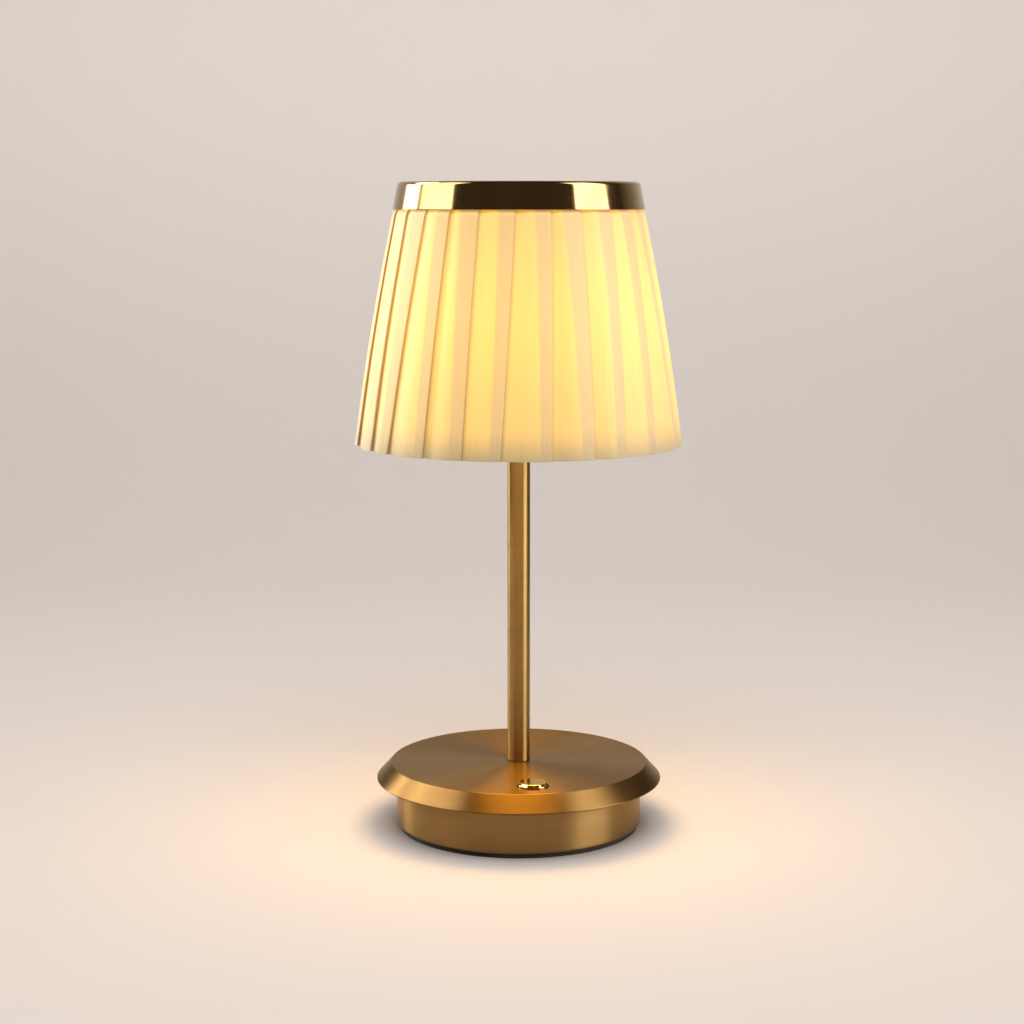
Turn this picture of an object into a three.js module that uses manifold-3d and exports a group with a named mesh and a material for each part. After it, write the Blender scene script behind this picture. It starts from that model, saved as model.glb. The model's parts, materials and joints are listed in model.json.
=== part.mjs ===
// Cordless table lamp: a brass base with a chamfered disc, a thin stem, an LED head under an opal
// dome, and a pleated fabric shade with a brass band that lifts straight off the head.
// Units are millimetres. +Z is up, -Y is the front (the push button), +Y the back (the USB-C socket).
// The origin is the centre of the foot, on the table.

import * as THREE from "three";
import { mergeVertices } from "three/addons/utils/BufferGeometryUtils.js";
import Module from "manifold-3d";

const wasm = await Module();
wasm.setup();

// ---------------------------------------------------------------- driving dimensions

const gap = 0.3; // between pieces that touch
const roundSteps = 48; // sides of a large circle
const smallSteps = 24; // sides of a small circle

const lampHeight = 300;

const foot = { outer: 56, inner: 50, thick: 1.6 };
const drum = { radius: 57.2, wall: 2, bottomRound: 1.2 };
const disc = { topRadius: 59.6, rimRadius: 67.2, top: 30.8, rim: 22.9, skin: 2 };
const cover = { radius: 54.8, thick: 2 };
const ballast = { radius: 52, bore: 14, thick: 4 };
const tray = { radius: 51, bore: 12, thick: 1.2, ribHigh: 8 };
const cell = { radius: 9.2, length: 65, apart: 38 };
const pillar = { x: 37.5, y: 25, radius: 3, bore: 1.6, boreDeep: 9 };
const coverScrew = { headRadius: 2.9, shank: 1.35, length: 10 };

const board = { wide: 32, deep: 16.5, thick: 1.6, front: 35, height: 14 };
const boardPost = { x: 12.5, y: 39, radius: 2.4 };
const usb = { wide: 8.94, high: 3.26, deep: 7.35, wall: 0.32, mouth: 56.4 };
const pipe = { radius: 1, x: 9.5, back: 49.5, front: 56.6 };

const button = { radius: 7, y: -46.4, proud: 2, chamfer: 1.1, flange: 7.6 };

const stem = { radius: 5.25, bore: 4.15, top: 210 };
const nipple = { radius: 4, bore: 2.6, bottom: 19, top: 44 };
const wireRadius = 0.7;

const head = { bottom: 203, deck: 218.5, seat: 219.5, flange: 24.5, spigot: 20, lip: 223, cup: 15 };
const dome = { radius: 17.8, wall: 1.6, straight: 240 };
const ledBoard = { radius: 15.2, thick: 1.2 };
const ledCount = 6;

const fitter = { inner: 20.5, outer: 24.5, thick: 1.5 };
const seatKey = { wide: 3, out: 1.6 };
const spokeCount = 3;
const spokeRadius = 1.25;

const band = { bottom: 287.5, bottomRadius: 57.4, topRadius: 54.8, wall: 1.1, lip: 50.6 };
const cloth = { hem: 183.4, hemRadius: 74.8, neckRadius: 57.2, thick: 2.2, tuck: 291 };
const linerWall = 0.4;
const frameWire = 1.2;
const topWireRadius = 52.4;
const topWireHeight = 289.4;
const hemWire = 0.75;
const trim = { bottom: 181, radius: 74.1, wide: 3.2, wall: 0.6 };

// Heights and radii that follow from them
const drumTop = disc.top - disc.skin - 0.2;
const drumInner = drum.radius - drum.wall;
const coverBottom = foot.thick + gap;
const coverTop = coverBottom + cover.thick;
const ballastBottom = coverTop + gap;
const ballastTop = ballastBottom + ballast.thick;
const trayBottom = ballastTop + gap;
const trayTop = trayBottom + tray.thick;
const cellAxis = trayTop + 0.2 + cell.radius;
const boardTop = board.height + board.thick;
const usbAxis = boardTop + 0.1 + usb.high / 2;
const underDisc = disc.top - disc.skin;
const clothSlope = (cloth.hemRadius - cloth.neckRadius) / (band.bottom - cloth.hem);
const clothRadiusAt = (z) => cloth.neckRadius + (band.bottom - z) * clothSlope;
const bandSlope = (band.bottomRadius - band.topRadius) / (lampHeight - band.bottom);
const bandRadiusAt = (z) => band.bottomRadius - (z - band.bottom) * bandSlope;

// ---------------------------------------------------------------- materials

const finish = (color, roughness, metalness) =>
  new THREE.MeshStandardMaterial({ color, roughness, metalness });

const satinBrass = finish(0xa9824a, 0.34, 1);
const polishedBrass = finish(0xc9a25e, 0.14, 1);
const blackRubber = finish(0x141312, 0.85, 0);
const steel = finish(0x8d9094, 0.4, 1);
const aluminium = finish(0xc4c6c8, 0.35, 1);
const whitePlastic = finish(0xe6e3dc, 0.5, 0);
const cellWrap = finish(0x2c5f8e, 0.35, 0);
const circuitGreen = finish(0x1c5a3a, 0.45, 0);
const circuitWhite = finish(0xf0efe9, 0.4, 0);
const blackPlastic = finish(0x1a1a1c, 0.45, 0);
const opal = finish(0xfff1d6, 0.3, 0);
const ledPhosphor = finish(0xf3d36a, 0.4, 0);
const cream = finish(0xf7e6c4, 0.85, 0);
const linerWhite = finish(0xf6efe0, 0.6, 0);
const redInsulation = finish(0xb3231d, 0.5, 0);
const blackInsulation = finish(0x1b1b1b, 0.5, 0);

// ---------------------------------------------------------------- shape helpers

// A solid of revolution about Z from its closed outline of [radius, height] points.
function turned(outline, steps = roundSteps) {
  const area = outline.reduce((sum, [r, z], i) => {
    const [nextR, nextZ] = outline[(i + 1) % outline.length];
    return sum + r * nextZ - nextR * z;
  }, 0);
  const ordered = area > 0 ? outline : [...outline].reverse();
  const points = [...ordered, ordered[0]].map(([r, z]) => new THREE.Vector2(r, z));
  return new THREE.LatheGeometry(points, steps).rotateX(Math.PI / 2);
}

// A ring or disc with a rectangular section.
function washer(inner, outer, low, high, steps = roundSteps) {
  return inner > 0
    ? turned([[inner, low], [outer, low], [outer, high], [inner, high]], steps)
    : rod(outer, low, high, steps);
}

// A solid cylinder along Z.
function rod(radius, low, high, steps = smallSteps) {
  return new THREE.CylinderGeometry(radius, radius, high - low, steps)
    .rotateX(Math.PI / 2)
    .translate(0, 0, (low + high) / 2);
}

// A box from its lowest corner to its highest one.
function block([x0, y0, z0], [x1, y1, z1]) {
  return new THREE.BoxGeometry(x1 - x0, y1 - y0, z1 - z0).translate(
    (x0 + x1) / 2,
    (y0 + y1) / 2,
    (z0 + z1) / 2,
  );
}

// A ring of round wire lying flat: radius to the middle of the wire.
function wireRing(radius, wire, height, sides = 8) {
  const section = Array.from({ length: sides }, (_, i) => {
    const turn = (2 * Math.PI * i) / sides;
    return [radius + wire * Math.cos(turn), height + wire * Math.sin(turn)];
  });
  return turned(section);
}

// A round rod that follows a smooth curve through the points.
function bentRod(points, radius, steps, sides = 8) {
  const outline = new THREE.Shape();
  for (let i = 0; i < sides; i++) {
    const turn = (2 * Math.PI * i) / sides;
    const corner = [radius * Math.cos(turn), radius * Math.sin(turn)];
    if (i) outline.lineTo(...corner);
    else outline.moveTo(...corner);
  }
  outline.closePath();
  const route = new THREE.CatmullRomCurve3(
    points.map((p) => new THREE.Vector3(...p)),
    false,
    "centripetal",
  );
  return new THREE.ExtrudeGeometry(outline, { steps, extrudePath: route });
}

// A slot outline with round ends, centred on the origin.
function stadium(wide, high, steps = 6) {
  const radius = high / 2;
  const reach = wide / 2 - radius;
  const shape = new THREE.Shape();
  for (let i = 0; i <= steps; i++) {
    const turn = -Math.PI / 2 + (Math.PI * i) / steps;
    const point = [reach + radius * Math.cos(turn), radius * Math.sin(turn)];
    if (i) shape.lineTo(...point);
    else shape.moveTo(...point);
  }
  for (let i = 0; i <= steps; i++) {
    const turn = Math.PI / 2 + (Math.PI * i) / steps;
    shape.lineTo(-reach + radius * Math.cos(turn), radius * Math.sin(turn));
  }
  shape.closePath();
  return shape;
}

// A shape drawn in X and Z, pushed along Y from one place to another.
function alongY(shape, from, to, height) {
  return new THREE.ExtrudeGeometry(shape, { depth: to - from, bevelEnabled: false })
    .rotateX(Math.PI / 2)
    .translate(0, to, height);
}

// ---------------------------------------------------------------- joining and cutting

function solidOf(geometry) {
  const bare = geometry.clone();
  bare.deleteAttribute("normal");
  bare.deleteAttribute("uv");
  const merged = mergeVertices(bare, 1e-3);
  return new wasm.Manifold(
    new wasm.Mesh({
      numProp: 3,
      vertProperties: new Float32Array(merged.attributes.position.array),
      triVerts: new Uint32Array(merged.index.array),
    }),
  );
}

function geometryOf(solid) {
  const mesh = solid.getMesh();
  return new THREE.BufferGeometry()
    .setAttribute("position", new THREE.BufferAttribute(mesh.vertProperties, mesh.numProp))
    .setIndex(new THREE.BufferAttribute(mesh.triVerts, 1));
}

function cut(geometry, tools) {
  return geometryOf(tools.reduce((left, tool) => left.subtract(solidOf(tool)), solidOf(geometry)));
}

function join(geometries) {
  return geometryOf(geometries.map(solidOf).reduce((whole, next) => whole.add(next)));
}

const lamp = new THREE.Group();

function add(name, geometry, material) {
  const mesh = new THREE.Mesh(geometry, material);
  mesh.name = name;
  lamp.add(mesh);
}

// The four corners where the pillars stand.
const pillarPlaces = [
  [pillar.x, pillar.y],
  [-pillar.x, pillar.y],
  [-pillar.x, -pillar.y],
  [pillar.x, -pillar.y],
];

const atPillars = (make) => pillarPlaces.map(([x, y]) => make().translate(x, y, 0));

// ---------------------------------------------------------------- base: casing

// A soft ring that keeps the metal off the table.
function footPad() {
  return washer(foot.inner, foot.outer, 0, foot.thick);
}

// The flat plate that closes the drum from below, countersunk for its screws.
function bottomCover() {
  const plate = rod(cover.radius, coverBottom, coverTop, roundSteps);
  const countersink = () =>
    turned(
      [
        [0, coverBottom - 1],
        [coverScrew.headRadius + 1.35, coverBottom - 1],
        [coverScrew.shank + 0.35, coverBottom + 1.75],
        [coverScrew.shank + 0.35, coverTop + 1],
        [0, coverTop + 1],
      ],
      smallSteps,
    );
  return cut(plate, atPillars(countersink));
}

// The side wall, with a rounded lower edge, a slot for the socket and a hole for the light pipe.
function baseDrum() {
  const low = coverBottom;
  const r = drum.radius;
  const edge = drum.bottomRound;
  const wall = turned([
    [drumInner, low],
    [r - edge, low],
    [r - 0.3 * edge, low + 0.3 * edge],
    [r, low + edge],
    [r, drumTop],
    [drumInner, drumTop],
  ]);
  const reach = [drumInner - 4, drum.radius + 4];
  const socketSlot = alongY(stadium(usb.wide + 0.9, usb.high + 0.9), ...reach, usbAxis);
  const pipeHole = rod(pipe.radius + 0.25, ...reach, 12)
    .rotateX(-Math.PI / 2)
    .translate(pipe.x, 0, usbAxis);
  return cut(wall, [socketSlot, pipeHole]);
}

// The wide pressed disc: a flat top, a chamfer, and a hollow underside that overhangs the drum.
function baseDisc() {
  const slope = (disc.rimRadius - disc.topRadius) / (disc.top - disc.rim);
  const insideTop = disc.topRadius - 0.8;
  const insideRim = insideTop + (underDisc - disc.rim) * slope;
  const shell = turned([
    [nipple.radius + 0.3, underDisc],
    [insideTop, underDisc],
    [insideRim, disc.rim],
    [disc.rimRadius - 0.3, disc.rim],
    [disc.rimRadius, disc.rim + 0.4],
    [disc.topRadius + 0.3, disc.top - 0.25],
    [disc.topRadius - 0.3, disc.top],
    [nipple.radius + 0.3, disc.top],
  ]);
  const buttonHole = rod(button.radius + 0.25, underDisc - 1, disc.top + 1, smallSteps).translate(
    0,
    button.y,
    0,
  );
  return cut(shell, [buttonHole]);
}

// Steel plate that keeps the lamp upright.
function ballastPlate() {
  const plate = washer(ballast.bore, ballast.radius, ballastBottom, ballastTop);
  const hole = () => rod(pillar.radius + 0.4, ballastBottom - 1, ballastTop + 1, 16);
  return cut(plate, atPillars(hole));
}

// A threaded post that the bottom screws pull against.
function standoff() {
  return turned(
    [
      [0, ballastBottom + pillar.boreDeep],
      [pillar.bore, ballastBottom + pillar.boreDeep],
      [pillar.bore, coverTop + 0.2],
      [pillar.radius, coverTop + 0.2],
      [pillar.radius, underDisc - 0.2],
      [0, underDisc - 0.2],
    ],
    16,
  );
}

// A countersunk screw seen from below the lamp, with a cross recess.
function screwFromBelow() {
  const low = coverBottom + 0.1;
  const body = turned(
    [
      [0, low],
      [coverScrew.headRadius, low],
      [coverScrew.shank, low + 1.6],
      [coverScrew.shank, low + coverScrew.length],
      [0, low + coverScrew.length],
    ],
    16,
  );
  const arm = [1.7, 0.35];
  return cut(body, [
    block([-arm[0], -arm[1], low - 1], [arm[0], arm[1], low + 0.9]),
    block([-arm[1], -arm[0], low - 1], [arm[1], arm[0], low + 0.9]),
  ]);
}

// ---------------------------------------------------------------- base: battery and electronics

// A moulded tray: floor, low ribs beside the cells, end stops and two posts for the circuit board.
function batteryTray() {
  const floor = washer(tray.bore, tray.radius, trayBottom, trayTop);
  const ribX = cell.apart / 2 + cell.radius + 0.5;
  const ribLong = 24;
  const stopY = cell.length / 2 + 0.9;
  const stopHigh = trayTop + 6;
  const pieces = [floor];
  for (const side of [-1, 1]) {
    const ribFaces = [side * ribX, side * (ribX + 1.4)].sort((a, b) => a - b);
    pieces.push(
      block([ribFaces[0], -ribLong, trayTop - 0.5], [ribFaces[1], ribLong, trayTop + tray.ribHigh]),
    );
    const stopX = [side * 12, side * 26].sort((a, b) => a - b);
    pieces.push(block([stopX[0], -stopY - 1.2, trayTop - 0.5], [stopX[1], -stopY, stopHigh]));
    pieces.push(
      rod(boardPost.radius, trayTop - 0.5, board.height - 0.1, 16).translate(
        side * boardPost.x,
        boardPost.y,
        0,
      ),
    );
  }
  const hole = () => rod(pillar.radius + 0.4, trayBottom - 1, trayTop + 1, 16);
  const screwHole = (side) =>
    rod(1.15, trayTop, board.height + 1, 12).translate(side * boardPost.x, boardPost.y, 0);
  return cut(join(pieces), [...atPillars(hole), screwHole(1), screwHole(-1)]);
}

// A cylindrical lithium cell lying front to back, with its raised positive cap.
function batteryCell(side) {
  const half = cell.length / 2;
  const can = turned(
    [
      [0, -half],
      [cell.radius - 0.7, -half],
      [cell.radius, -half + 0.7],
      [cell.radius, half - 1.6],
      [cell.radius - 0.7, half - 0.9],
      [4, half - 0.9],
      [4, half],
      [0, half],
    ],
    smallSteps,
  );
  return can.rotateX(-Math.PI / 2).translate((side * cell.apart) / 2, 0, cellAxis);
}

// A spot-welded strip that joins the two cells at one end.
function nickelStrip(end) {
  const face = end * (cell.length / 2 + 0.2);
  const [low, high] = [face, face + end * 0.25].sort((a, b) => a - b);
  const reach = cell.apart / 2 + 4;
  return block([-reach, low, cellAxis - 2.2], [reach, high, cellAxis + 2.2]);
}

// The charging and driver board, drilled for its two screws.
function driverBoard() {
  const half = board.wide / 2;
  const plate = block(
    [-half, board.front, board.height],
    [half, board.front + board.deep, boardTop],
  );
  const hole = (side) =>
    rod(1.25, board.height - 1, boardTop + 1, 12).translate(side * boardPost.x, boardPost.y, 0);
  return cut(plate, [hole(1), hole(-1)]);
}

// A pan-head screw through the board into a post of the tray.
function boardScrew(side) {
  return join([
    rod(0.95, boardTop - 5, boardTop + 0.5, 12),
    rod(2, boardTop + 0.1, boardTop + 1.2, 12),
  ]).translate(side * boardPost.x, boardPost.y, 0);
}

// The metal shell of the charging socket: a flat tube open to the back of the lamp.
function usbSocket() {
  const outline = stadium(usb.wide, usb.high);
  const mouth = stadium(usb.wide - 2 * usb.wall, usb.high - 2 * usb.wall);
  outline.holes.push(new THREE.Path(mouth.getPoints()));
  return alongY(outline, usb.mouth - usb.deep, usb.mouth, usbAxis);
}

// The insulator inside the socket: a back wall with the thin contact tongue.
function usbTongue() {
  const back = usb.mouth - usb.deep;
  const wall = stadium(usb.wide - 2 * usb.wall - 0.3, usb.high - 2 * usb.wall - 0.3);
  return join([
    alongY(wall, back + 0.2, back + 1.6, usbAxis),
    block([-3.3, back + 1, usbAxis - 0.35], [3.3, usb.mouth - 1.1, usbAxis + 0.35]),
  ]);
}

// A clear rod that carries the charging light to the back of the drum.
function lightPipe() {
  return rod(pipe.radius, pipe.back, pipe.front, 12)
    .rotateX(-Math.PI / 2)
    .translate(pipe.x, 0, usbAxis);
}

function driverChip() {
  return block([4, 41, boardTop + 0.1], [9.5, 45.5, boardTop + 1.4]);
}

function powerCoil() {
  return rod(3.2, boardTop + 0.1, boardTop + 4, 16).translate(-7, 44, 0);
}

function batteryPlug() {
  return block([-4, 36, boardTop + 0.1], [4, 40.5, boardTop + 5]);
}

// ---------------------------------------------------------------- base: push button

// The cap: chamfered crown, straight sides through the disc, and a flange that keeps it captive.
function buttonCap() {
  const crown = disc.top + button.proud;
  const flangeTop = underDisc - 0.3;
  return turned(
    [
      [0, flangeTop - 1.4],
      [button.flange, flangeTop - 1.4],
      [button.flange, flangeTop],
      [button.radius, flangeTop],
      [button.radius, crown - button.chamfer],
      [button.radius - 0.45, crown - 0.55],
      [button.radius - 1.3, crown - 0.12],
      [button.radius - 2.4, crown],
      [0, crown],
    ],
    smallSteps,
  ).translate(0, button.y, 0);
}

// The plunger of the small switch, which travels with the cap.
function switchPlunger() {
  return rod(1.7, 24, underDisc - 1.9, 12).translate(0, button.y, 0);
}

// The switch body, with a pocket that the plunger sinks into.
function tactSwitch() {
  const body = block([-3, button.y - 3, 20.7], [3, button.y + 3, 24.6]);
  const pocket = rod(2, 22.6, 26, 12).translate(0, button.y, 0);
  return cut(body, [pocket]);
}

function switchBoard() {
  return block([-5.4, button.y - 5.4, 19.4], [5.4, button.y + 5.4, 20.5]);
}

// A moulded cup under the disc that guides the cap and holds the switch board.
function buttonHousing() {
  const inner = button.flange + 0.3;
  const outer = inner + 0.7;
  return turned(
    [
      [0, 17.6],
      [outer, 17.6],
      [outer, underDisc - 0.2],
      [inner, underDisc - 0.2],
      [inner, 19.1],
      [0, 19.1],
    ],
    smallSteps,
  ).translate(0, button.y, 0);
}

// ---------------------------------------------------------------- stem

function stemTube() {
  return washer(stem.bore, stem.radius, disc.top + 0.1, stem.top, smallSteps);
}

function stemNipple() {
  return washer(nipple.bore, nipple.radius, nipple.bottom, nipple.top, smallSteps);
}

function stemWasher() {
  return washer(nipple.radius + 0.3, 9, underDisc - 1.8, underDisc - 0.2, smallSteps);
}

// A hexagonal nut under the washer.
function stemNut() {
  const hexagon = rod(7.5, underDisc - 7.2, underDisc - 2, 6);
  return cut(hexagon, [rod(nipple.radius + 0.3, underDisc - 9, underDisc, smallSteps)]);
}

// One of the two leads from the driver board up the stem to the LED board.
function lead(side) {
  const x = side * 1.05;
  const route = [
    [side * 2.2, board.front - 1, boardTop + 0.4],
    [side * 2, 26, 14.2],
    [x, 13, 13.2],
    [x, 4.5, 13.6],
    [x, 0.7, 15.6],
    [x, 0, 19.5],
    [x, 0, 60],
    [x, 0, 120],
    [x, 0, 180],
    [x, 0, head.deck - 1],
  ];
  return bentRod(route, wireRadius, 44);
}

// ---------------------------------------------------------------- LED head

// A turned cup that screws on the stem: a flange the shade rests on and a spigot that centres it.
function headCup() {
  const cup = turned(
    [
      [stem.radius + 0.15, head.bottom],
      [12, head.bottom],
      [head.cup, head.bottom + 3],
      [head.cup, head.seat - 3.2],
      [head.flange, head.seat - 2],
      [head.flange, head.seat],
      [head.spigot, head.seat],
      [head.spigot, head.lip],
      [head.spigot - 1.7, head.lip],
      [head.spigot - 1.7, head.deck],
      [3.4, head.deck],
      [3.4, stem.top + 0.3],
      [stem.radius + 0.15, stem.top + 0.3],
    ],
    36,
  );
  const key = block(
    [-seatKey.wide / 2, head.spigot - 0.8, head.seat - 0.5],
    [seatKey.wide / 2, head.spigot + seatKey.out, head.lip - 0.6],
  );
  return join([cup, key]);
}

function ledPlate() {
  const low = head.deck + 0.2;
  return washer(3, ledBoard.radius, low, low + ledBoard.thick, 36);
}

function ledChip(index) {
  const turn = (2 * Math.PI * index) / ledCount;
  const low = head.deck + 0.3 + ledBoard.thick;
  return block([-1.4, -1.75, low], [1.4, 1.75, low + 0.8])
    .translate(9.5, 0, 0)
    .rotateZ(turn);
}

// The opal cover of the LEDs: a straight skirt and a round crown, open below.
function diffuserDome() {
  const low = head.deck + 0.2;
  const arcSteps = 7;
  const arc = (radius) =>
    Array.from({ length: arcSteps + 1 }, (_, i) => {
      const turn = (Math.PI / 2) * (i / arcSteps);
      return [radius * Math.cos(turn), dome.straight + radius * Math.sin(turn)];
    });
  const tidy = ([r, z]) => [Math.max(r, 0) < 1e-6 ? 0 : r, z];
  const inner = dome.radius - dome.wall;
  return turned(
    [
      [dome.radius, low],
      ...arc(dome.radius).map(tidy),
      ...arc(inner).map(tidy).reverse(),
      [inner, low],
    ],
    36,
  );
}

// ---------------------------------------------------------------- shade

// The flat ring that drops over the dome and sits on the head, notched for the key.
function fitterRing() {
  const low = head.seat + gap;
  const ring = washer(fitter.inner, fitter.outer, low, low + fitter.thick);
  const notch = block(
    [-seatKey.wide / 2 - 0.4, fitter.inner - 2, low - 1],
    [seatKey.wide / 2 + 0.4, fitter.inner + 1.5, low + fitter.thick + 1],
  );
  return cut(ring, [notch]);
}

// One bent arm from the fitter ring up to the top wire of the shade.
function spoke(index) {
  const ringMiddle = head.seat + gap + fitter.thick / 2;
  const route = [
    [fitter.outer + gap, 0, ringMiddle],
    [29, 0, ringMiddle],
    [33, 0, head.seat + 3.2],
    [36, 0, head.seat + 8.5],
    [43, 0, head.seat + 34],
    [48.6, 0, topWireHeight - 14],
    [topWireRadius - 0.4, 0, topWireHeight - 1.6],
  ];
  const turn = Math.PI / 2 + Math.PI / spokeCount + (2 * Math.PI * index) / spokeCount;
  return bentRod(route, spokeRadius, 20).rotateZ(turn);
}

function topWire() {
  return wireRing(topWireRadius, frameWire, topWireHeight);
}

function bottomWire() {
  const middle = trim.radius - trim.wide / 2;
  return wireRing(middle, hemWire, trim.bottom + trim.wall + 0.1 + hemWire);
}

// The brass band: it follows the slope of the shade, rounds over and ends in a lip that turns in.
function topBand() {
  const shoulder = lampHeight - 2.2;
  const roundTop = bandRadiusAt(shoulder);
  return turned([
    [band.bottomRadius - band.wall, band.bottom],
    [band.bottomRadius, band.bottom],
    [roundTop, shoulder],
    [roundTop - 0.35, lampHeight - 0.95],
    [roundTop - 1.1, lampHeight - 0.25],
    [roundTop - 2.1, lampHeight],
    [band.lip, lampHeight],
    [band.lip, lampHeight - band.wall],
    [roundTop - 2.2, lampHeight - band.wall],
    [roundTop - band.wall, shoulder - 0.4],
  ]);
}

// The pleated cloth as one plain conical wall; its top is gathered inside the band.
function pleatedCloth() {
  const neck = band.bottom - 0.4;
  const middle = (cloth.hem + neck) / 2;
  const bow = 0.5;
  return turned([
    [clothRadiusAt(cloth.hem) - cloth.thick, cloth.hem],
    [clothRadiusAt(cloth.hem), cloth.hem],
    [clothRadiusAt(middle) + bow, middle],
    [clothRadiusAt(neck), neck - 0.6],
    [bandRadiusAt(neck) - band.wall - gap, neck],
    [bandRadiusAt(cloth.tuck) - band.wall - gap, cloth.tuck],
    [bandRadiusAt(cloth.tuck) - band.wall - 1.3, cloth.tuck],
    [bandRadiusAt(neck) - band.wall - 1.3, neck - 0.6],
    [clothRadiusAt(middle) + bow - cloth.thick, middle],
  ]);
}

// The stiff translucent cone that the pleats are mounted on.
function shadeLiner() {
  const low = cloth.hem;
  const high = topWireHeight - 2;
  const inside = (z) => clothRadiusAt(z) - cloth.thick - 0.5 - linerWall;
  return turned([
    [inside(low), low],
    [inside(low) + linerWall, low],
    [inside(high) + linerWall, high],
    [inside(high), high],
  ]);
}

// The tape that wraps the bottom wire: a shallow channel, open upwards.
function bottomTrim() {
  const outer = trim.radius;
  const inner = trim.radius - trim.wide;
  const low = trim.bottom;
  const high = cloth.hem - 0.2;
  return turned([
    [inner, low],
    [outer, low],
    [outer, high],
    [outer - trim.wall, high],
    [outer - trim.wall, low + trim.wall],
    [inner + trim.wall, low + trim.wall],
    [inner + trim.wall, high],
    [inner, high],
  ]);
}

// ---------------------------------------------------------------- assembly

add("foot_pad", footPad(), blackRubber);
add("bottom_cover", bottomCover(), blackPlastic);
add("base_drum", baseDrum(), satinBrass);
add("base_disc", baseDisc(), satinBrass);
add("ballast_plate", ballastPlate(), steel);
pillarPlaces.forEach(([x, y], i) => {
  add(`standoff_${i + 1}`, standoff().translate(x, y, 0), steel);
  add(`cover_screw_${i + 1}`, screwFromBelow().translate(x, y, 0), steel);
});

add("battery_tray", batteryTray(), whitePlastic);
add("battery_cell_1", batteryCell(1), cellWrap);
add("battery_cell_2", batteryCell(-1), cellWrap);
add("nickel_strip_front", nickelStrip(-1), aluminium);
add("nickel_strip_back", nickelStrip(1), aluminium);
add("driver_board", driverBoard(), circuitGreen);
add("board_screw_1", boardScrew(1), steel);
add("board_screw_2", boardScrew(-1), steel);
add("usb_socket", usbSocket(), steel);
add("usb_tongue", usbTongue(), blackPlastic);
add("light_pipe", lightPipe(), opal);
add("driver_chip", driverChip(), blackPlastic);
add("power_coil", powerCoil(), blackPlastic);
add("battery_plug", batteryPlug(), whitePlastic);

add("button_cap", buttonCap(), polishedBrass);
add("switch_plunger", switchPlunger(), blackPlastic);
add("tact_switch", tactSwitch(), blackPlastic);
add("switch_board", switchBoard(), circuitGreen);
add("button_housing", buttonHousing(), whitePlastic);

add("stem_tube", stemTube(), satinBrass);
add("stem_nipple", stemNipple(), steel);
add("stem_washer", stemWasher(), steel);
add("stem_nut", stemNut(), steel);
add("lead_positive", lead(1), redInsulation);
add("lead_negative", lead(-1), blackInsulation);

add("head_cup", headCup(), satinBrass);
add("led_board", ledPlate(), circuitWhite);
for (let i = 0; i < ledCount; i++) add(`led_chip_${i + 1}`, ledChip(i), ledPhosphor);
add("diffuser_dome", diffuserDome(), opal);

add("fitter_ring", fitterRing(), steel);
for (let i = 0; i < spokeCount; i++) add(`spoke_${i + 1}`, spoke(i), steel);
add("top_wire", topWire(), steel);
add("bottom_wire", bottomWire(), steel);
add("top_band", topBand(), polishedBrass);
add("pleated_cloth", pleatedCloth(), cream);
add("shade_liner", shadeLiner(), linerWhite);
add("bottom_trim", bottomTrim(), cream);

export default lamp;
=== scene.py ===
import json
import math

import bmesh
import bpy
import numpy as np
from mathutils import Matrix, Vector


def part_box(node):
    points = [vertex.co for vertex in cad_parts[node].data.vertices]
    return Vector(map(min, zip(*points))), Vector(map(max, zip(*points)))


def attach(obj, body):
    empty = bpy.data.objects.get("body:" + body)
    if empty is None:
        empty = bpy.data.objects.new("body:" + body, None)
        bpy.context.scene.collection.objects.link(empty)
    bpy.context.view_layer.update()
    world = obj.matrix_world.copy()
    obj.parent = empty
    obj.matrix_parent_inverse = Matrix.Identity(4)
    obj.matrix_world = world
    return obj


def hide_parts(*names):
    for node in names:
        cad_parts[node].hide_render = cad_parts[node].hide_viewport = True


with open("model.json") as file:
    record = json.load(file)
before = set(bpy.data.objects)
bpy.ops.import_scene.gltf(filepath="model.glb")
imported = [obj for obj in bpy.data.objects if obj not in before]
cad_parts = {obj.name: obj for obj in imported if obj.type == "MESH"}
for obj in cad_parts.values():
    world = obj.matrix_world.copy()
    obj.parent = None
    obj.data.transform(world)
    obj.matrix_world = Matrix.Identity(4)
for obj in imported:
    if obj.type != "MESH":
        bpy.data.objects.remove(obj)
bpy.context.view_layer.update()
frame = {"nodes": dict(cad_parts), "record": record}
mm = 0.001
print("frame loaded:", len(frame["nodes"]), "nodes")


# mesh tools

def gridQuads(rows, columns, closeRows=False, closeColumns=True):
    # quads of a rows x columns grid of points, wrapping round where asked
    i = np.arange(rows if closeRows else rows - 1)[:, None]
    j = np.arange(columns if closeColumns else columns - 1)[None, :]
    row = i * columns
    nextRow = (i + 1) % rows * columns
    nextColumn = (j + 1) % columns
    corners = [row + j, row + nextColumn, nextRow + nextColumn, nextRow + j]
    return np.stack(np.broadcast_arrays(*corners), axis=-1).reshape(-1, 4)


def makeMesh(name, points, faces):
    # a mesh object from an array of points and an array of quads or a list of faces
    mesh = bpy.data.meshes.new(name)
    mesh.from_pydata(np.asarray(points, float).tolist(), [], [list(map(int, f)) for f in faces])
    mesh.update()
    piece = bpy.data.objects.new(name, mesh)
    bpy.context.scene.collection.objects.link(piece)
    return piece


def smoothShade(piece, sharpAngle=35):
    # smooth faces, with edges steeper than the angle kept sharp
    mesh = piece.data
    mesh.polygons.foreach_set("use_smooth", np.ones(len(mesh.polygons), bool))
    mesh.set_sharp_from_angle(angle=math.radians(sharpAngle))
    return piece


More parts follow.
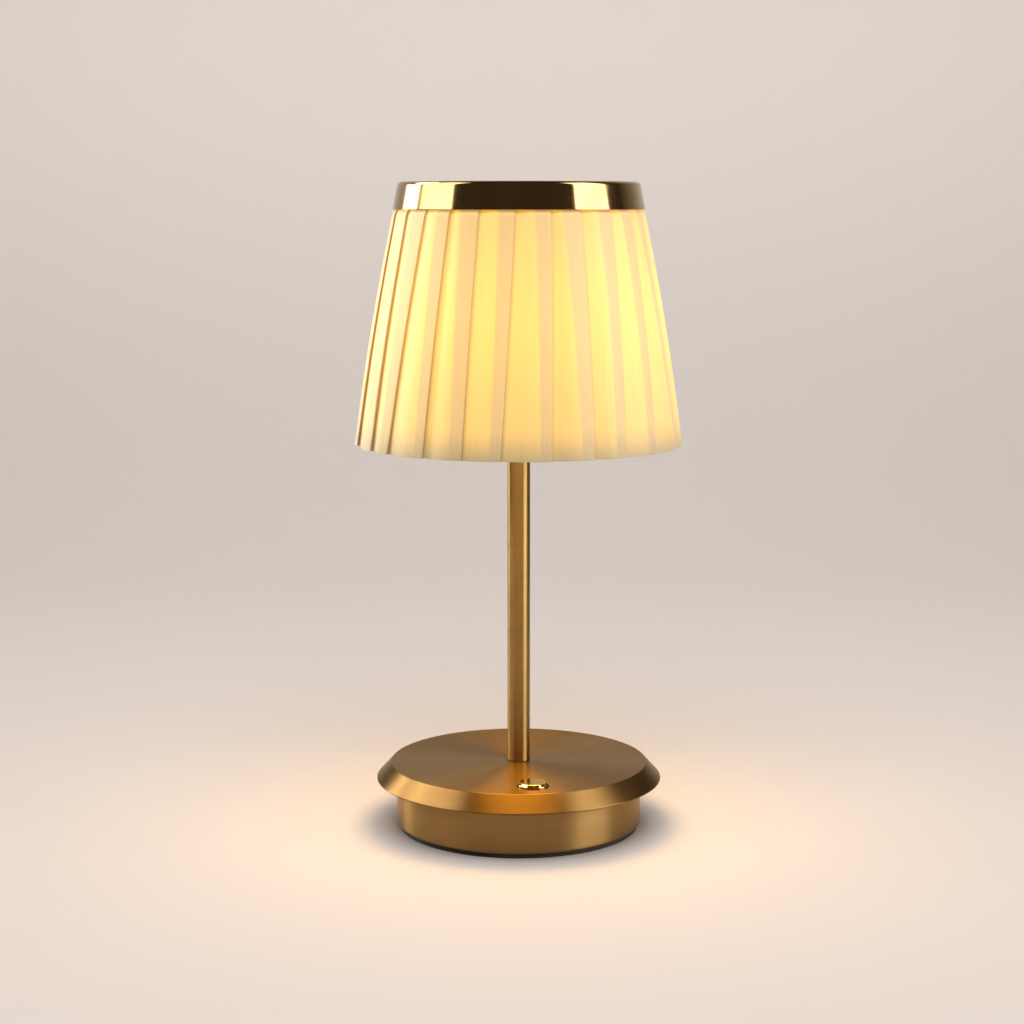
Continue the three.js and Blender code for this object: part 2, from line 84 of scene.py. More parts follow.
def roundedOutline(corners, steps=4, support=0.25):
    # an outline of (radius, height, rounding) corners with each rounding drawn as an arc,
    # and a point just beside each arc so that flat stretches shade flat
    corners = np.array(corners, float)
    place, rounding = corners[:, :2], corners[:, 2]
    back = np.roll(place, 1, axis=0) - place
    ahead = np.roll(place, -1, axis=0) - place
    back /= np.linalg.norm(back, axis=1)[:, None]
    ahead /= np.linalg.norm(ahead, axis=1)[:, None]
    half = np.arccos(np.clip((back * ahead).sum(1), -1, 1)) / 2
    reach = rounding / np.tan(half)
    t = np.linspace(0, 1, steps + 1)[None, :, None]
    start = (place + back * reach[:, None])[:, None]
    end = (place + ahead * reach[:, None])[:, None]
    middle = place[:, None]
    weight = np.sin(half)[:, None, None]  # a rational curve with this middle weight is a true arc
    share = (1 - t) ** 2 + 2 * weight * t * (1 - t) + t ** 2
    arc = ((1 - t) ** 2 * start + 2 * weight * t * (1 - t) * middle + t ** 2 * end) / share
    beside = (support * rounding)[:, None, None]
    before = start + back[:, None] * beside
    after = end + ahead[:, None] * beside
    full = np.concatenate([before, arc, after], axis=1)
    sharp = rounding <= 0
    return np.concatenate([place[k][None] if sharp[k] else full[k] for k in range(len(place))])


def turnedPiece(name, outline, segments=160, closed=True, centre=(0, 0)):
    # radius and height of each outline point, carried once round the vertical axis:
    # x = r sin a, y = -r cos a, z = h, with poles closed by single points
    outline = np.asarray(outline, float)
    following = np.roll(outline, -1, axis=0)
    if np.sum(outline[:, 0] * following[:, 1] - following[:, 0] * outline[:, 1]) < 0:
        outline = outline[::-1]  # always anticlockwise, so that faces point outward
    if not closed:  # start at the pole that comes after the other one
        onAxis = np.flatnonzero(outline[:, 0] < 1e-9)
        first = onAxis[1] if onAxis[1] - onAxis[0] == 1 else onAxis[0]
        outline = np.roll(outline, -first, axis=0)
    angle = np.linspace(0, 2 * np.pi, segments, endpoint=False)
    r, h = outline[:, :1], outline[:, 1:]
    x = r * np.sin(angle) + centre[0]
    y = -r * np.cos(angle) + centre[1]
    ring = np.stack([x, y, h + 0 * angle], axis=-1)
    quads = gridQuads(len(outline), segments, closeRows=closed)
    points = ring.reshape(-1, 3) * mm
    if closed:
        return makeMesh(name, points, quads)
    body = quads[segments:-segments] - (segments - 1)
    inner = points[segments - 1:len(points) - segments + 1].copy()
    inner[0], inner[-1] = points[0], points[-1]
    last = len(inner) - 1
    j = np.arange(segments)
    k = (j + 1) % segments
    low = np.stack([0 * j, 1 + k, 1 + j], axis=-1)
    top = last - segments
    high = np.stack([top + j, top + k, last + 0 * j], axis=-1)
    return makeMesh(name, inner, body.tolist() + low.tolist() + high.tolist())


def sweptRod(name, points, radius, sides=20, steps=90, turn=0):
    # a round section carried along a smooth curve that lies in one upright plane:
    # centre + radius (cos b * across + sin b * sideways), closed by domed ends
    points = np.array(points, float)
    reach = np.concatenate([[0], np.cumsum(np.linalg.norm(np.diff(points, axis=0), axis=1))])
    t = np.linspace(0, reach[-1], steps)
    line = np.stack([np.interp(t, reach, points[:, c]) for c in range(2)], axis=1)
    half = 7  # steps on each side that the rounding of a bend takes in
    kernel = np.hanning(2 * half + 1)
    kernel /= kernel.sum()
    padded = np.concatenate([2 * line[0] - line[half:0:-1], line, 2 * line[-1] - line[-2:-half - 2:-1]])
    line = np.stack([np.convolve(padded[:, c], kernel, "valid") for c in range(2)], axis=1)
    along = np.gradient(line, axis=0)
    along /= np.linalg.norm(along, axis=1)[:, None]
    across = np.stack([-along[:, 1], along[:, 0]], axis=1)
    domeRings, tip = 5, 0.02
    dome = np.maximum(np.sin(np.linspace(0, np.pi / 2, domeRings)), tip)
    size = np.ones(steps)
    size[:domeRings] = dome
    size[-domeRings:] = dome[::-1]
    b = np.linspace(0, 2 * np.pi, sides, endpoint=False)
    out = line[:, None, 0] + radius * size[:, None] * across[:, None, 0] * np.cos(b)
    up = line[:, None, 1] + radius * size[:, None] * across[:, None, 1] * np.cos(b)
    side = radius * size[:, None] * np.sin(b)
    x = out * math.sin(turn) + side * math.cos(turn)
    y = -out * math.cos(turn) + side * math.sin(turn)
    grid = np.stack([x, y, up], axis=-1)
    quads = gridQuads(steps, sides).tolist()
    ends = [list(range(sides))[::-1], [(steps - 1) * sides + j for j in range(sides)]]
    return makeMesh(name, grid.reshape(-1, 3) * mm, quads + ends)


def cutWith(piece, cutter):
    # takes the cutter's shape out of the piece for good
    change = piece.modifiers.new("cut", "BOOLEAN")
    change.operation, change.solver, change.object = "DIFFERENCE", "EXACT", cutter
    made = bpy.data.meshes.new_from_object(piece.evaluated_get(bpy.context.evaluated_depsgraph_get()))
    piece.modifiers.clear()
    piece.data = made
    bpy.data.objects.remove(cutter)
    return piece


def facesOut(piece):
    # turns every face outward
    shape = bmesh.new()
    shape.from_mesh(piece.data)
    bmesh.ops.recalc_face_normals(shape, faces=shape.faces)
    shape.to_mesh(piece.data)
    shape.free()
    return piece


# node tools

def addNode(tree, kind, **values):
    # a node with its settings and the plain values of its inputs
    made = tree.nodes.new("ShaderNode" + kind)
    for key, value in values.items():
        if hasattr(made, key):
            setattr(made, key, value)
        else:
            made.inputs[key.replace("_", " ")].default_value = value
    return made


def mathNode(tree, operation, *values, clamp=False):
    made = tree.nodes.new("ShaderNodeMath")
    made.operation, made.use_clamp = operation, clamp
    for socket, value in zip(made.inputs, values):
        if isinstance(value, (int, float)):
            socket.default_value = value
        else:
            tree.links.new(value, socket)
    return made.outputs[0]


def mixColours(tree, share, first, second, blend="MIX"):
    made = tree.nodes.new("ShaderNodeMix")
    made.data_type, made.blend_type = "RGBA", blend
    for socket, value in ((made.inputs[0], share), (made.inputs[6], first), (made.inputs[7], second)):
        if isinstance(value, (int, float, tuple)):
            socket.default_value = (*value, 1) if isinstance(value, tuple) else value
        else:
            tree.links.new(value, socket)
    return made.outputs[2]


def softStep(tree, value, low, high):
    made = addNode(tree, "MapRange", interpolation_type="SMOOTHSTEP")
    made.inputs["From Min"].default_value, made.inputs["From Max"].default_value = low, high
    tree.links.new(value, made.inputs["Value"])
    return made.outputs["Result"]


def newGroup(name, inputs, outputs):
    group = bpy.data.node_groups.new(name, "ShaderNodeTree")
    for label, kind, value in inputs:
        socket = group.interface.new_socket(label, in_out="INPUT", socket_type="NodeSocket" + kind)
        if value is not None:
            socket.default_value = value
    for label, kind in outputs:
        group.interface.new_socket(label, in_out="OUTPUT", socket_type="NodeSocket" + kind)
    return group, group.nodes.new("NodeGroupInput").outputs, group.nodes.new("NodeGroupOutput").inputs


def useGroup(tree, group, **values):
    made = tree.nodes.new("ShaderNodeGroup")
    made.node_tree = group
    for key, value in values.items():
        socket = made.inputs[key]
        if isinstance(value, (int, float)):
            socket.default_value = value
        else:
            tree.links.new(value, socket)
    return made.outputs


def newMaterial(name, **values):
    # a material with one Principled shader, whose plain values are given
    material = bpy.data.materials.new(name)
    material.use_nodes = True
    shader = material.node_tree.nodes["Principled BSDF"]
    for key, value in values.items():
        socket = shader.inputs[key.replace("_", " ")]
        socket.default_value = (*value, 1) if isinstance(value, tuple) and len(value) == 3 else value
    return material, material.node_tree, shader


def objectPlace(tree):
    return tree.nodes.new("ShaderNodeTexCoord").outputs["Object"]


def tint(tree, shader, share, first, second, socket="Base Color"):
    # the shader's colour runs from the first to the second as the share goes from 0 to 1
    tree.links.new(mixColours(tree, share, first, second), shader.inputs[socket])


def bumpFrom(tree, shader, height, distance, strength=1.0):
    bump = addNode(tree, "Bump", Strength=strength, Distance=distance)
    tree.links.new(height, bump.inputs["Height"])
    tree.links.new(bump.outputs[0], shader.inputs["Normal"])


# effects that several materials share

def makeSpunGrain():
    # fine circular scratches left by turning: noise that varies quickly with the distance from
    # the axis and the height, and slowly round the axis
    group, given, made = newGroup(
        "spunGrain",
        [("Place", "Vector", None), ("Lines", "Float", 3000.0), ("Drift", "Float", 3.0)],
        [("Height", "Float"), ("Streak", "Float")],
    )
    apart = group.nodes.new("ShaderNodeSeparateXYZ")
    group.links.new(given["Place"], apart.inputs[0])
    x, y, z = apart.outputs
    squares = [mathNode(group, "MULTIPLY", side, side) for side in (x, y)]
    radius = mathNode(group, "SQRT", mathNode(group, "ADD", *squares))
    turn = mathNode(group, "ARCTAN2", y, x)
    # height counts 1.37 times, so that the lines do not merge on a surface at 45 degrees
    outAndUp = mathNode(group, "ADD", radius, mathNode(group, "MULTIPLY", z, 1.37))
    lines = mathNode(group, "MULTIPLY", outAndUp, given["Lines"])
    around = mathNode(group, "MULTIPLY", mathNode(group, "COSINE", turn), given["Drift"])
    aside = mathNode(group, "MULTIPLY", mathNode(group, "SINE", turn), given["Drift"])
    joined = group.nodes.new("ShaderNodeCombineXYZ")
    for socket, value in zip(joined.inputs, (lines, around, aside)):
        group.links.new(value, socket)
    fine = addNode(group, "TexNoise", Scale=1.0, Detail=3.0, Roughness=0.6)
    broad = addNode(group, "TexNoise", Scale=0.08, Detail=2.0, Roughness=0.5)
    for noise in (fine, broad):
        group.links.new(joined.outputs[0], noise.inputs["Vector"])
    group.links.new(fine.outputs["Fac"], made["Height"])
    group.links.new(broad.outputs["Fac"], made["Streak"])
    return group


def makeHandling():
    # the soft blotches and tiny specks that handling leaves: a broad noise and a fine one
    group, given, made = newGroup(
        "handling",
        [("Place", "Vector", None), ("Blotch", "Float", 25.0), ("Speck", "Float", 900.0)],
        [("Smudge", "Float"), ("Specks", "Float")],
    )
    broad = addNode(group, "TexNoise", Detail=4.0, Roughness=0.55, Distortion=0.4)
    fine = addNode(group, "TexNoise", Detail=2.0, Roughness=0.5)
    for noise, size in ((broad, "Blotch"), (fine, "Speck")):
        group.links.new(given["Place"], noise.inputs["Vector"])
        group.links.new(given[size], noise.inputs["Scale"])
    group.links.new(softStep(group, broad.outputs["Fac"], 0.42, 0.68), made["Smudge"])
    group.links.new(softStep(group, fine.outputs["Fac"], 0.62, 0.72), made["Specks"])
    return group


def stretchedNoise(group, place, stretch, detail, roughness):
    # noise drawn out along one direction, as a thicker thread is
    mapping = addNode(group, "Mapping", Scale=stretch)
    group.links.new(place, mapping.inputs["Vector"])
    noise = addNode(group, "TexNoise", Scale=1.0, Detail=detail, Roughness=roughness)
    group.links.new(mapping.outputs[0], noise.inputs["Vector"])
    return noise.outputs["Fac"]


def makeWeave():
    # plain weave in the cloth's own metres: the product of two sine waves, one along each
    # thread direction, and long slubs where a thread is thicker
    group, given, made = newGroup(
        "weave",
        [("Cloth", "Vector", None), ("Threads", "Float", 3600.0), ("Slubs", "Float", 1.0)],
        [("Height", "Float"), ("Slub", "Float")],
    )
    apart = group.nodes.new("ShaderNodeSeparateXYZ")
    group.links.new(given["Cloth"], apart.inputs[0])
    u, v, _ = apart.outputs
    halfWaves = mathNode(group, "MULTIPLY", given["Threads"], math.pi)
    threads = [mathNode(group, "SINE", mathNode(group, "MULTIPLY", side, halfWaves)) for side in (u, v)]
    knots = mathNode(group, "MULTIPLY", *threads)
    upright = stretchedNoise(group, given["Cloth"], (900, 45, 1), 3.0, 0.6)
    level = stretchedNoise(group, given["Cloth"], (60, 1400, 1), 2.0, 0.5)
    uneven = mathNode(group, "MULTIPLY_ADD", upright, 0.65, mathNode(group, "MULTIPLY", level, 0.35))
    slub = mathNode(group, "MULTIPLY", uneven, given["Slubs"])
    group.links.new(mathNode(group, "MULTIPLY_ADD", knots, 0.35, slub), made["Height"])
    group.links.new(slub, made["Slub"])
    return group


spunGrain = makeSpunGrain()
handling = makeHandling()
weave = makeWeave()


# materials

# the disc, drum and stem are one brass in three tones; the differences between them are painted light and
# shade, the stem lightest for the lamp's light from above and the disc darkest
satinLook = {
    "disc": {"light": (0.225, 0.130, 0.046), "deep": (0.170, 0.095, 0.031), "lines": 2600.0},
    "drum": {"light": (0.31, 0.194, 0.077), "deep": (0.24, 0.145, 0.054), "lines": 2200.0},
    "stem": {"light": (0.34, 0.222, 0.084), "deep": (0.27, 0.168, 0.058), "lines": 1800.0},
}


def satinBrass(name, light, deep, lines):
    # brushed and lacquered brass: the grain runs round the axis, and so does the highlight
    material, tree, shader = newMaterial(
        name, Metallic=1.0, Anisotropic=0.85, Anisotropic_Rotation=0.25, Specular_Tint=(0.87, 0.79, 0.68))
    place = objectPlace(tree)
    grain = useGroup(tree, spunGrain, Place=place, Lines=lines, Drift=2.0)
    marks = useGroup(tree, handling, Place=place, Blotch=28.0, Speck=1100.0)
    smudge = mathNode(tree, "MULTIPLY", marks["Smudge"], 0.2)
    tone = mathNode(tree, "MULTIPLY_ADD", grain["Streak"], 0.8, smudge)
    tint(tree, shader, tone, deep, light)
    rough = mathNode(tree, "MULTIPLY_ADD", grain["Height"], 0.10, 0.28)
    rough = mathNode(tree, "MULTIPLY_ADD", marks["Smudge"], 0.04, rough)
    tree.links.new(rough, shader.inputs["Roughness"])
    tangent = addNode(tree, "Tangent", direction_type="RADIAL", axis="Z")
    tree.links.new(tangent.outputs[0], shader.inputs["Tangent"])
    bumpFrom(tree, shader, grain["Height"], 0.000012)
    return material


# the band and the button are one polished brass; the button's lighter tones are painted light on its top
# face
polishLook = {
    "band": {"light": (0.38, 0.275, 0.130), "deep": (0.32, 0.220, 0.094), "grazing": (1.0, 1.0, 1.0)},
    "button": {"light": (0.70, 0.510, 0.235), "deep": (0.60, 0.415, 0.175), "grazing": (0.80, 0.68, 0.48)},
}


def polishedBrass(name, light, deep, grazing):
    # mirror brass with faint turning lines, a little duller where it has been touched
    material, tree, shader = newMaterial(name, Metallic=1.0, Specular_Tint=grazing)
    place = objectPlace(tree)
    grain = useGroup(tree, spunGrain, Place=place, Lines=4200.0, Drift=1.2)
    marks = useGroup(tree, handling, Place=place, Blotch=40.0, Speck=1500.0)
    tint(tree, shader, marks["Smudge"], light, deep)
    rough = mathNode(tree, "MULTIPLY_ADD", marks["Smudge"], 0.06, 0.07)
    rough = mathNode(tree, "MULTIPLY_ADD", marks["Specks"], 0.08, rough)
    tree.links.new(rough, shader.inputs["Roughness"])
    bumpFrom(tree, shader, grain["Height"], 0.0000025)
    return material


# emission colours that paint the lamp's light through the cloth, and the cloth's own colour
glowLook = {
    "oneLayer": (0.92, 0.458, 0.008),
    "threeLayers": (0.56, 0.290, 0.050),
    "cloth": (0.60, 0.485, 0.275),
    "slubShade": 0.86,
    "strength": 1.0,
}


def ivoryCloth():
    # painted glow: emission stands in for the lamp's light through the cloth, brighter where one layer
    # covers the lamp and less where a pleat lies three deep
    material, tree, shader = newMaterial(
        "ivoryCloth", Roughness=0.62, Sheen_Weight=0.25, Sheen_Roughness=0.4,
        Emission_Strength=glowLook["strength"])
    cloth = addNode(tree, "UVMap", uv_map="clothMetres").outputs[0]
    threads = useGroup(tree, weave, Cloth=cloth, Threads=3600.0, Slubs=1.0)
    overlap = addNode(tree, "Attribute", attribute_name="overlap").outputs["Fac"]
    glow = addNode(tree, "Attribute", attribute_name="glow").outputs["Fac"]
    single = softStep(tree, overlap, 0.88, 1.12)
    lit = mixColours(tree, single, glowLook["threeLayers"], glowLook["oneLayer"])
    uneven = mathNode(tree, "MULTIPLY_ADD", threads["Slub"], 0.22, 0.89)
    power = mathNode(tree, "MULTIPLY", glow, uneven)
    tree.links.new(mixColours(tree, 1.0, lit, power, "MULTIPLY"), shader.inputs["Emission Color"])
    dark = tuple(glowLook["slubShade"] * c for c in glowLook["cloth"])
    tint(tree, shader, threads["Slub"], dark, glowLook["cloth"])
    bumpFrom(tree, shader, threads["Height"], 0.00006, 0.6)
    return material


def tapeCloth():
    # the same cloth cut as a narrow tape, with a faint painted glow for the lamp's light through it
    material, tree, shader = newMaterial("hemTape", Roughness=0.7, Sheen_Weight=0.2, Emission_Strength=1.0)
    threads = useGroup(tree, weave, Cloth=objectPlace(tree), Threads=2400.0, Slubs=1.0)
    tint(tree, shader, threads["Slub"], (0.66, 0.56, 0.40), (0.80, 0.71, 0.55))
    tint(tree, shader, threads["Slub"], (0.10, 0.055, 0.015), (0.14, 0.08, 0.02), "Emission Color")
    bumpFrom(tree, shader, threads["Height"], 0.00008, 0.5)
    return material


def linerFilm():
    # frosted film behind the pleats with a painted glow: bright where it is near the lamp and fading over 1
    # / 11 m
    lampHeight, fade = 0.235, 11.0
    material, tree, shader = newMaterial("linerFilm", Roughness=0.5, Emission_Strength=1.0)
    place = objectPlace(tree)
    marks = useGroup(tree, handling, Place=place, Blotch=30.0, Speck=1400.0)
    tint(tree, shader, marks["Smudge"], (0.84, 0.80, 0.70), (0.88, 0.85, 0.77))
    apart = tree.nodes.new("ShaderNodeSeparateXYZ")
    tree.links.new(place, apart.inputs[0])
    away = mathNode(tree, "ABSOLUTE", mathNode(tree, "SUBTRACT", apart.outputs[2], lampHeight))
    near = mathNode(tree, "SUBTRACT", 1.0, mathNode(tree, "MULTIPLY", away, fade), clamp=True)
    tint(tree, shader, near, (0.26, 0.15, 0.035), (0.52, 0.35, 0.12), "Emission Color")
    bumpFrom(tree, shader, marks["Specks"], 0.00002, 0.4)
    return material


def opalPlastic():
    # milky plastic lit from inside
    material, tree, shader = newMaterial(
        "opalPlastic", Roughness=0.3, Emission_Strength=0.9, Coat_Weight=0.1)
    marks = useGroup(tree, handling, Place=objectPlace(tree), Blotch=60.0, Speck=1200.0)
    tint(tree, shader, marks["Smudge"], (0.90, 0.86, 0.76), (0.86, 0.81, 0.70))
    tint(tree, shader, marks["Smudge"], (1.0, 0.72, 0.36), (1.0, 0.66, 0.30), "Emission Color")
    bumpFrom(tree, shader, marks["Specks"], 0.00001, 0.3)
    return material


def plainFinish(name, light, deep, rough, metallic=0.0, bump=0.00002, **more):
    # a moulded, plated, painted or rubber finish: two close tones, specks and a fine bump
    material, tree, shader = newMaterial(name, Metallic=metallic, **more)
    marks = useGroup(tree, handling, Place=objectPlace(tree), Blotch=45.0, Speck=1600.0)
    tint(tree, shader, marks["Smudge"], light, deep)
    uneven = mathNode(tree, "MULTIPLY_ADD", marks["Smudge"], 0.12, rough)
    tree.links.new(uneven, shader.inputs["Roughness"])
    bumpFrom(tree, shader, marks["Specks"], bump, 0.5)
    return material


looks = {
    "satin_brass": satinBrass("discBrass", **satinLook["disc"]),
    "polished_brass": polishedBrass("bandBrass", **polishLook["band"]),
    "ivory_fabric": ivoryCloth(),
    "liner_film": linerFilm(),
    "opal_plastic": opalPlastic(),
    "black_rubber": plainFinish(
        "blackRubber", (0.022, 0.021, 0.02), (0.012, 0.012, 0.012), 0.7, bump=0.00006),
    "black_plastic": plainFinish("blackPlastic", (0.035, 0.034, 0.033), (0.022, 0.022, 0.022), 0.42),
    "zinc_steel": plainFinish("zincSteel", (0.55, 0.55, 0.54), (0.42, 0.42, 0.42), 0.28, metallic=1.0),
    "white_wire": plainFinish("whiteEnamel", (0.80, 0.76, 0.68), (0.74, 0.70, 0.61), 0.25, Coat_Weight=0.3),
    "nickel": plainFinish("brightNickel", (0.66, 0.62, 0.56), (0.55, 0.52, 0.47), 0.2, metallic=1.0),
    "white_plastic": plainFinish("whitePlastic", (0.78, 0.76, 0.71), (0.70, 0.68, 0.63), 0.45),
    "cell_wrap": plainFinish("cellWrap", (0.05, 0.16, 0.34), (0.03, 0.11, 0.26), 0.3),
    "circuit_green": plainFinish("circuitGreen", (0.02, 0.16, 0.08), (0.012, 0.10, 0.05), 0.35),
    "circuit_white": plainFinish("circuitWhite", (0.82, 0.81, 0.77), (0.75, 0.74, 0.70), 0.35),
    "led_phosphor": plainFinish("ledPhosphor", (0.90, 0.66, 0.12), (0.80, 0.56, 0.08), 0.35),
    "red_insulation": plainFinish("redInsulation", (0.45, 0.03, 0.02), (0.34, 0.02, 0.015), 0.4),
    "black_insulation": plainFinish("blackInsulation", (0.03, 0.03, 0.03), (0.018, 0.018, 0.018), 0.4),
}
hemTape = tapeCloth()
drumBrass = satinBrass("drumBrass", **satinLook["drum"])
stemBrass = satinBrass("stemBrass", **satinLook["stem"])
buttonBrass = polishedBrass("buttonBrass", **polishLook["button"])
slotOf = {part["node"]: part["material_slot"] for part in frame["record"]["subparts"]}
for name, node in frame["nodes"].items():
    node.data.materials.clear()
    node.data.materials.append(looks[slotOf[name]])
print("materials ready")


def finishPiece(piece, body, slot, *nodes, material=None, sharpAngle=35):
    # gives a new piece its finish, its body and the nodes it stands for
    smoothShade(piece, sharpAngle)
    piece.data.materials.clear()
    piece.data.materials.append(material or looks[slot])
    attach(piece, body)
    if nodes:
        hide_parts(*nodes)
    return piece


def heights(node):
    low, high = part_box(node)
    return low.z / mm, high.z / mm


def widest(node):
    low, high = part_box(node)
    return (high.x - low.x) / 2 / mm


# base

base = {
    "footWide": 6.0, "drumWall": 2.0, "drumFoot": 1.2,
    "discSkin": 2.0, "discTop": 59.9, "rimEdge": 0.45, "topEdge": 0.55, "stemHole": 4.3,
    "slotGap": 0.45, "pipeHole": 2.5,
}
footLow, footHigh = heights("foot_pad")
foot = widest("foot_pad")
footInner = foot - base["footWide"]
footPad = turnedPiece("foot_ring", roundedOutline([
    (footInner, footLow, 0.3), (foot, footLow, 0.4), (foot, footHigh, 0.2), (footInner, footHigh, 0.2)]))
finishPiece(footPad, "lamp", "black_rubber", "foot_pad")

drumLow, drumHigh = heights("base_drum")
drum = widest("base_drum")
drumInner = drum - base["drumWall"]
drumWall = turnedPiece("drum_wall", roundedOutline([
    (drumInner, drumLow, 0), (drum, drumLow, base["drumFoot"]),
    (drum, drumHigh, 0.15), (drumInner, drumHigh, 0)], steps=6), segments=240)


def slotCutter(width, height, z, x=0.0, inner=50.0, outer=62.0, steps=10):
    # a bar with round ends that points out of the back of the drum
    half = np.linspace(-np.pi / 2, np.pi / 2, steps)
    r = height / 2
    reach = max(width / 2 - r, 0)
    across = np.concatenate([reach + r * np.cos(half), -reach - r * np.cos(half)])
    up = np.concatenate([r * np.sin(half), -r * np.sin(half)])
    ring = [np.stack([x + across, 0 * across + y, z + up], axis=-1) for y in (inner, outer)]
    n = len(across)
    faces = gridQuads(2, n).tolist() + [list(range(n))[::-1], list(range(n, 2 * n))]
    return facesOut(makeMesh("cutter", np.concatenate(ring) * mm, faces))


socketLow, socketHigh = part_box("usb_socket")
slotWide, slotTall = [(socketHigh[k] - socketLow[k]) / mm + 2 * base["slotGap"] for k in (0, 2)]
socketMiddle = (socketLow.z + socketHigh.z) / 2 / mm
pipeLow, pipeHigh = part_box("light_pipe")
pipeX = (pipeLow.x + pipeHigh.x) / 2 / mm
cutWith(drumWall, slotCutter(slotWide, slotTall, socketMiddle))
cutWith(drumWall, slotCutter(base["pipeHole"], base["pipeHole"], socketMiddle, x=pipeX))
finishPiece(drumWall, "lamp", "satin_brass", "base_drum", material=drumBrass)

button = {"radius": 7.0, "gap": 0.3, "flange": 1.4, "bevelWide": 1.1, "bevelHigh": 1.25, "crown": 0.12}
buttonLow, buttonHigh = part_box("button_cap")
buttonFoot, buttonCrown = heights("button_cap")
buttonY = (buttonLow.y + buttonHigh.y) / 2 / mm

discLow, discHigh = heights("base_disc")
rim = widest("base_disc")
slope = (rim - base["discTop"]) / (discHigh - discLow)
under = discHigh - base["discSkin"]
innerTop = base["discTop"] - 0.8  # the chamfer keeps its thickness
discShell = turnedPiece("chamfered_disc", roundedOutline([
    (base["stemHole"], under, 0.1),
    (innerTop, under, 0.5),
    (innerTop + (under - discLow) * slope, discLow, 0.2),
    (rim, discLow, base["rimEdge"]),
    (base["discTop"], discHigh, base["topEdge"]),
    (base["stemHole"], discHigh, 0.3)], steps=5), segments=288)
holeRadius = button["radius"] + button["gap"]
buttonHole = [(0, under - 2), (holeRadius, under - 2), (holeRadius, discHigh + 2), (0, discHigh + 2)]
cutWith(discShell, turnedPiece("cutter", buttonHole, segments=64, closed=False, centre=(0, buttonY)))
finishPiece(discShell, "lamp", "satin_brass", "base_disc")

flange = widest("button_cap")
flangeTop = buttonFoot + button["flange"]
capSide = roundedOutline([
    (0.001, buttonFoot, 0),
    (flange, buttonFoot, 0.2),
    (flange, flangeTop, 0.2),
    (button["radius"], flangeTop, 0.1),
    (button["radius"], buttonCrown - button["bevelHigh"], 0.35),
    (button["radius"] - button["bevelWide"], buttonCrown - button["crown"], 0.45),
    (0.001, buttonCrown, 0)], steps=5)[1:-1]
capOutline = np.concatenate([[(0, buttonFoot)], capSide, [(0, buttonCrown)]])
buttonCap = turnedPiece("push_button", capOutline, segments=96, closed=False, centre=(0, buttonY))
finishPiece(buttonCap, "button", "polished_brass", "button_cap", material=buttonBrass)
print("base made")


# stem and lamp head

head = {
    "bore": 4.15, "collar": 12.5, "body": 15.0, "flange": 24.5, "flangeThick": 2.2, "seatGap": 0.3,
    "seat": 20.0, "well": 18.3, "wellDeep": 4.5, "wellBore": 3.4, "wellFoot": 210.3, "domeWall": 1.6,
}
stemLow, stemHigh = heights("stem_tube")
stem = widest("stem_tube")
stemTube = turnedPiece("stem", roundedOutline([
    (head["bore"], stemLow, 0.2), (stem, stemLow, 0.35),
    (stem, stemHigh, 0.2), (head["bore"], stemHigh, 0.2)]), segments=96)
finishPiece(stemTube, "lamp", "satin_brass", "stem_tube", material=stemBrass)

cupLow, cupHigh = heights("head_cup")
ringLow, ringHigh = heights("fitter_ring")
seatTop = ringLow - head["seatGap"]
flangeLow = seatTop - head["flangeThick"]
wellFloor = cupHigh - head["wellDeep"]
cup = turnedPiece("lamp_head", roundedOutline([
    (stem + 0.15, cupLow, 0.2),
    (head["collar"], cupLow, 1.2),
    (head["body"], cupLow + 3, 0.8),
    (head["body"], flangeLow - 1.2, 1.2),
    (head["flange"], flangeLow, 0.5),
    (head["flange"], seatTop, 0.4),
    (head["seat"], seatTop, 0.3),
    (head["seat"], cupHigh, 0.3),
    (head["well"], cupHigh, 0.3),
    (head["well"], wellFloor, 0.2),
    (head["wellBore"], wellFloor, 0.2),
    (head["wellBore"], head["wellFoot"], 0),
    (stem + 0.15, head["wellFoot"], 0)], steps=4), segments=128)
finishPiece(cup, "lamp", "satin_brass", "head_cup")

domeLow, domeHigh = heights("diffuser_dome")
dome = widest("diffuser_dome")
domeInner = dome - head["domeWall"]
arc = np.linspace(0, np.pi / 2, 22)[:-1]
outerSide, innerSide = [
    np.stack([r * np.cos(arc), domeHigh - dome + r * np.sin(arc)], axis=1) for r in (dome, domeInner)]
domeShell = turnedPiece("opal_dome", np.concatenate([
    [(dome - 0.3, domeLow), (dome, domeLow + 0.3)], outerSide, [(0, domeHigh)],
    [(0, domeHigh - head["domeWall"])], innerSide[::-1],
    [(domeInner, domeLow + 0.2), (domeInner + 0.3, domeLow)]]), segments=96, closed=False)
finishPiece(domeShell, "lamp", "opal_plastic", "diffuser_dome")
print("stem and head made")


# shade: frame

fitterInner = 20.5
fitter = turnedPiece("fitter", roundedOutline([
    (fitterInner, ringLow, 0.3), (head["flange"], ringLow, 0.4), (head["flange"], ringHigh, 0.4),
    (fitterInner, ringHigh, 0.3)]), segments=128)
finishPiece(fitter, "shade", "white_wire", "fitter_ring")

tape = {"out": 72.85, "wide": 2.9, "wall": 0.3, "fold": 0.2, "leg": 1.6, "lean": 0.3, "wireGap": 0.15}


def wireRing(name, node, radius, thick, segments=192, sides=20):
    # a circle of round wire: radius + thick cos b out, thick sin b up
    low, high = heights(node)
    b = np.linspace(0, 2 * np.pi, sides, endpoint=False)
    section = np.stack([radius + thick * np.cos(b), (low + high) / 2 + thick * np.sin(b)], axis=1)
    finishPiece(turnedPiece(name, section, segments), "shade", "white_wire", node)


wireLow, wireHigh = heights("top_wire")
thick = (wireHigh - wireLow) / 2
topWire = widest("top_wire") - thick
wireRing("upper_wire", "top_wire", topWire, thick)
hemWireLow, hemWireHigh = heights("bottom_wire")
hemThick = (hemWireHigh - hemWireLow) / 2
wireRing("lower_wire", "bottom_wire", tape["out"] - tape["wall"] - hemThick - tape["wireGap"], hemThick)

